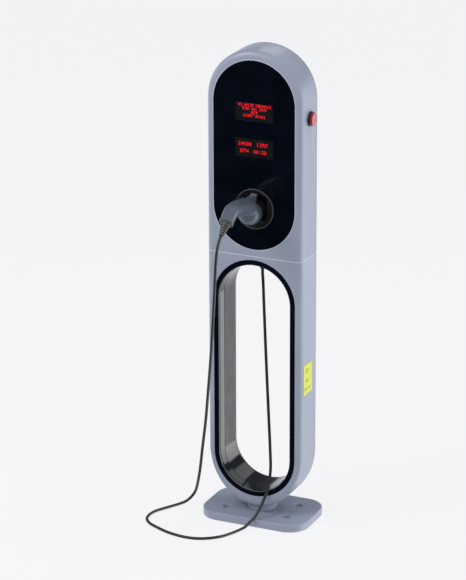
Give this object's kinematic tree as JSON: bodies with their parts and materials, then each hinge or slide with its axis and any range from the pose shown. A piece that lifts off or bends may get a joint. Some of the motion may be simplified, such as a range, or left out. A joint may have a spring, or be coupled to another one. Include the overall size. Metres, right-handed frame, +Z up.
{
  "type": "ev charging post",
  "caption": "Free-standing charging post with a round-ended body, black display fascia, cable loop, parked connector on a cable, side stop button and bolt-down foot.",
  "frame": {"origin": "centre of the base plate's underside, on the ground", "axes": "+Z up the post, -Y out of the front with the displays and the connector, +X towards the side with the stop button"},
  "size_m": [0.4584, 0.4154, 1.4],
  "materials": {
    "body_paint": "satin powder coat, light blue-grey",
    "gloss_black": "polished blue-black",
    "display_window": "tinted, slightly satin",
    "dark_plastic": "fine moulded grain",
    "connector_grey": "satin moulded blue-grey",
    "contact_silver": "silver plated",
    "boot_rubber": "matt moulded",
    "cable_rubber": "soft sheen jacket",
    "signal_red": "polished",
    "label_yellow": "printed vinyl",
    "label_ink": "printed marks on the label",
    "led_red": "lit red matrix dots",
    "steel": "zinc plated or brushed",
    "device_grey": "moulded switchgear grey",
    "toggle_blue": "moulded",
    "circuit_green": "solder mask"
  },
  "bodies": {
    "post": {"base_plate": "body_paint", "charging_cable": "cable_rubber", "chassis_plate": "steel", "contactor": "dark_plastic", "controller_board": "circuit_green", "din_rail": "steel", "energy_meter": "device_grey", "fascia_panel": "gloss_black", "gland_body": "dark_plastic", "gland_dome_nut": "dark_plastic", "gland_lock_nut": "dark_plastic", "holster_bezel": "gloss_black", "holster_cup": "dark_plastic", "inlet_gland": "dark_plastic", "inner_charging_lead": "cable_rubber", "loop_liner": "gloss_black", "lower_cover_screw_1": "steel", "lower_cover_screw_2": "steel", "lower_cover_screw_3": "steel", "lower_cover_screw_4": "steel", "lower_display_window": "display_window", "lower_housing": "body_paint", "lower_led_module": "dark_plastic", "lower_rear_cover": "body_paint", "mid_bulkhead": "steel", "neck_collar": "body_paint", "power_supply": "steel", "rcbo": "device_grey", "side_label": "label_yellow", "standoff_1": "steel", "standoff_2": "steel", "standoff_3": "steel", "standoff_4": "steel", "stop_button_collar": "dark_plastic", "stop_button_lock_nut": "dark_plastic", "stop_contact_block": "dark_plastic", "terminal_block": "device_grey", "upper_cover_screw_1": "steel", "upper_cover_screw_2": "steel", "upper_cover_screw_3": "steel", "upper_cover_screw_4": "steel", "upper_display_window": "display_window", "upper_housing": "body_paint", "upper_led_module": "dark_plastic", "upper_rear_cover": "body_paint"},
    "connector": {"connector_body": "connector_grey", "connector_nose": "dark_plastic", "connector_contact_1": "contact_silver", "connector_contact_2": "contact_silver", "connector_contact_3": "contact_silver", "connector_contact_4": "contact_silver", "connector_contact_5": "contact_silver", "connector_contact_6": "contact_silver", "connector_contact_7": "contact_silver", "connector_boot": "boot_rubber"},
    "stop_button": {"stop_button_cap": "signal_red"},
    "breaker_toggle": {"rcbo_toggle": "toggle_blue"}
  },
  "joints": [
    {"name": "connector_pull", "type": "slide", "parent": "post", "child": "connector", "axis": [0, -1, 0], "range_m": [0, 0.05], "deforming": ["charging_cable"]},
    {"name": "stop_button_press", "type": "slide", "parent": "post", "child": "stop_button", "axis": [-1, 0, 0], "range_m": [0, 0.004], "stiffness_N_per_m": 400, "springref_m": -0.002},
    {"name": "breaker_toggle_hinge", "type": "hinge", "parent": "post", "child": "breaker_toggle", "pos_m": [-0.058, 0.0291, 1.25], "axis": [1, 0, 0], "range_deg": [-60, 0]}
  ]
}
